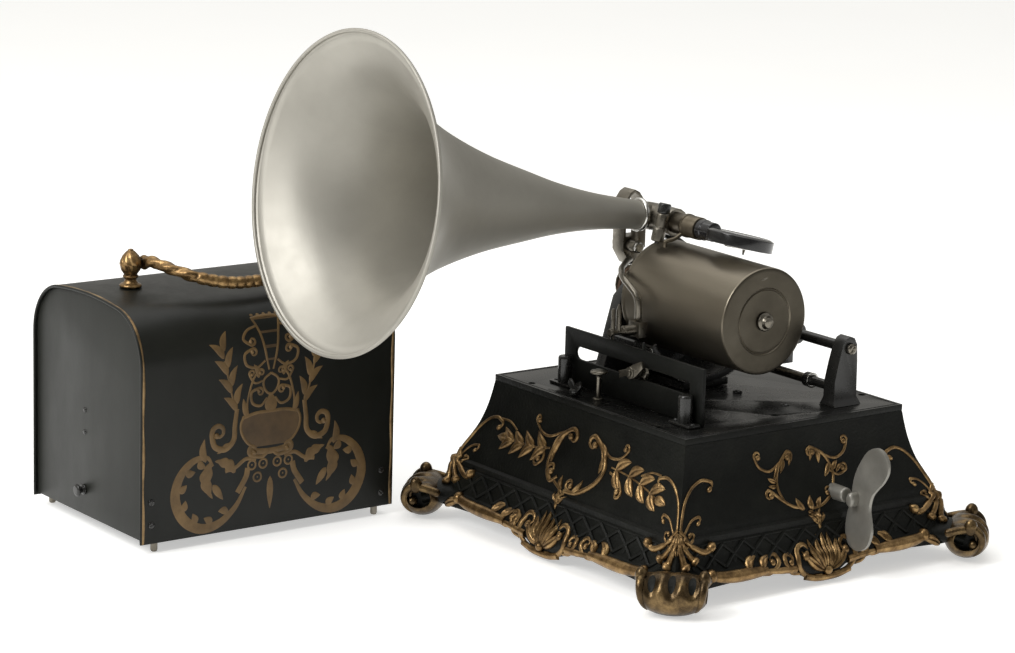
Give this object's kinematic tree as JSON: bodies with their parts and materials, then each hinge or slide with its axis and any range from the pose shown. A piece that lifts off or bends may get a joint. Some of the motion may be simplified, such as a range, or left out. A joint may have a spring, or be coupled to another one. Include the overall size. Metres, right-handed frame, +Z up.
{
  "type": "wind up cylinder phonograph",
  "caption": "Spring-driven cylinder phonograph on a flared ornamental iron base, with a flared metal horn on a sliding arm, a winding key, and its arched dust cover standing beside it.",
  "frame": {"origin": "centre of the whole set's bounding box, on the floor", "axes": "+X towards the winding key and the mandrel's free end, -Y towards the horn's bell, +Z up"},
  "size_m": [0.5655, 0.6225, 0.4377],
  "materials": {
    "iron": "black japanned cast iron, satin",
    "black": "gloss black japan over steel",
    "gilt": "antique copper gilt",
    "nickel": "worn nickel plate",
    "steel": "turned bright steel",
    "brass": "brushed brass",
    "aluminium": "spun aluminium, satin",
    "ebonite": "polished black hard rubber",
    "leather": "oiled brown leather",
    "enamel": "dark enamelled sheet steel",
    "mica": "clear mica sheet",
    "bronze": "dark bronzed brass"
  },
  "bodies": {
    "base": {"base_casting": "iron", "deck_plate": "iron", "motor_plate_left": "brass", "motor_plate_right": "brass", "mandrel_standard": "iron", "rear_post": "black", "guide_rod": "black", "swarf_tray": "black", "front_rail": "black", "rail_post_left": "black", "rail_post_right": "black", "drive_belt": "leather"},
    "winding": {"winding_arbor": "steel", "ratchet_wheel": "steel", "key_shaft": "nickel", "key_wing": "nickel"},
    "pawl": {"ratchet_pawl": "steel"},
    "barrel": {"spring_barrel": "brass", "barrel_cover": "brass", "mainspring": "steel"},
    "second": {"second_arbor": "steel", "drive_pulley": "brass"},
    "governor": {"governor_spindle": "steel", "governor_disc": "brass", "governor_weight_1": "brass", "governor_weight_2": "brass", "governor_weight_3": "brass"},
    "mandrel": {"mandrel": "nickel", "mandrel_shaft": "steel", "mandrel_pulley": "brass"},
    "idler": {"idler_gear": "brass"},
    "feed": {"feed_screw": "steel"},
    "start": {"start_knob": "nickel"},
    "speed": {"speed_screw": "black"},
    "stop": {"rail_stop": "steel"},
    "carriage": {"carriage_sleeve": "iron"},
    "arm": {"carriage_arm": "iron", "stirrup": "nickel", "tracker_rod": "steel", "tracker_block": "nickel", "rocker_pin": "steel"},
    "rocker": {"elbow": "nickel", "clamp_barrel": "steel", "clamp_bolt": "black", "reproducer_tube": "bronze", "reproducer_body": "ebonite", "diaphragm": "mica", "stylus_bar": "steel"},
    "horn": {"horn": "aluminium", "horn_ring": "nickel"},
    "cover": {"cover_wrap": "enamel", "cover_end_near": "enamel", "cover_end_far": "enamel", "cover_knob": "black", "handle_finial_near": "gilt", "handle_finial_far": "gilt"},
    "handle": {"handle_bail": "gilt"}
  },
  "joints": [
    {"name": "mandrel_spin", "type": "hinge", "parent": "base", "child": "mandrel", "pos_m": [0.084, 0.1345, 0.198], "axis": [1, 0, 0], "continuous": true},
    {"name": "second_spin", "type": "hinge", "parent": "base", "child": "second", "pos_m": [0.084, 0.10388, 0.0854], "axis": [1, 0, 0], "continuous": true},
    {"name": "barrel_spin", "type": "hinge", "parent": "base", "child": "barrel", "pos_m": [0.084, 0.155, 0.068], "axis": [1, 0, 0], "continuous": true},
    {"name": "governor_spin", "type": "hinge", "parent": "base", "child": "governor", "pos_m": [0.084, 0.07734, 0.06578], "axis": [1, 0, 0], "continuous": true},
    {"name": "idler_spin", "type": "hinge", "parent": "base", "child": "idler", "pos_m": [-0.011, 0.162, 0.17], "axis": [1, 0, 0], "continuous": true},
    {"name": "feed_spin", "type": "hinge", "parent": "base", "child": "feed", "pos_m": [0.084, 0.1895, 0.142], "axis": [1, 0, 0], "continuous": true},
    {"name": "winding_turn", "type": "hinge", "parent": "base", "child": "winding", "pos_m": [0.084, 0.155, 0.068], "axis": [1, 0, 0], "continuous": true},
    {"name": "pawl_swing", "type": "hinge", "parent": "base", "child": "pawl", "pos_m": [0.15, 0.181, 0.076], "axis": [1, 0, 0], "range_deg": [-12, 0], "stiffness_Nm_per_rad": 0.005, "springref_deg": 11.46},
    {"name": "start_press", "type": "slide", "parent": "base", "child": "start", "axis": [0, 0, -1], "range_m": [0, 0.004]},
    {"name": "speed_turn", "type": "hinge", "parent": "base", "child": "speed", "pos_m": [0.05, 0.022, 0.13], "axis": [0, 0, 1], "range_deg": [-180, 180]},
    {"name": "stop_slide", "type": "slide", "parent": "base", "child": "stop", "axis": [1, 0, 0], "range_m": [0, 0.05]},
    {"name": "carriage_travel", "type": "slide", "parent": "base", "child": "carriage", "axis": [1, 0, 0], "range_m": [-0.035, 0]},
    {"name": "arm_lift", "type": "hinge", "parent": "carriage", "child": "arm", "pos_m": [0.084, 0.199, 0.175], "axis": [-1, 0, 0], "range_deg": [0, 60]},
    {"name": "horn_rock", "type": "hinge", "parent": "arm", "child": "rocker", "pos_m": [-0.006, 0.125, 0.2335], "axis": [-1, 0, 0], "range_deg": [0, 3]},
    {"name": "horn_pull", "type": "slide", "parent": "rocker", "child": "horn", "axis": [0, -0.9895, 0.1444], "range_m": [0, 0.04]},
    {"name": "cover_away", "type": "slide", "parent": "base", "child": "cover", "axis": [-1, 0, 0], "range_m": [0, 0.15]},
    {"name": "handle_swing", "type": "hinge", "parent": "cover", "child": "handle", "pos_m": [-0.1915, -0.1815, 0.223], "axis": [0, -1, 0], "range_deg": [0, 200]}
  ],
  "couplings": [
    {"joint": "second_spin", "follows": "mandrel_spin", "ratio": 1.262},
    {"joint": "barrel_spin", "follows": "mandrel_spin", "ratio": -0.28682},
    {"joint": "governor_spin", "follows": "mandrel_spin", "ratio": -5.679},
    {"joint": "idler_spin", "follows": "mandrel_spin", "ratio": -0.69565},
    {"joint": "feed_spin", "follows": "mandrel_spin", "ratio": 1}
  ]
}
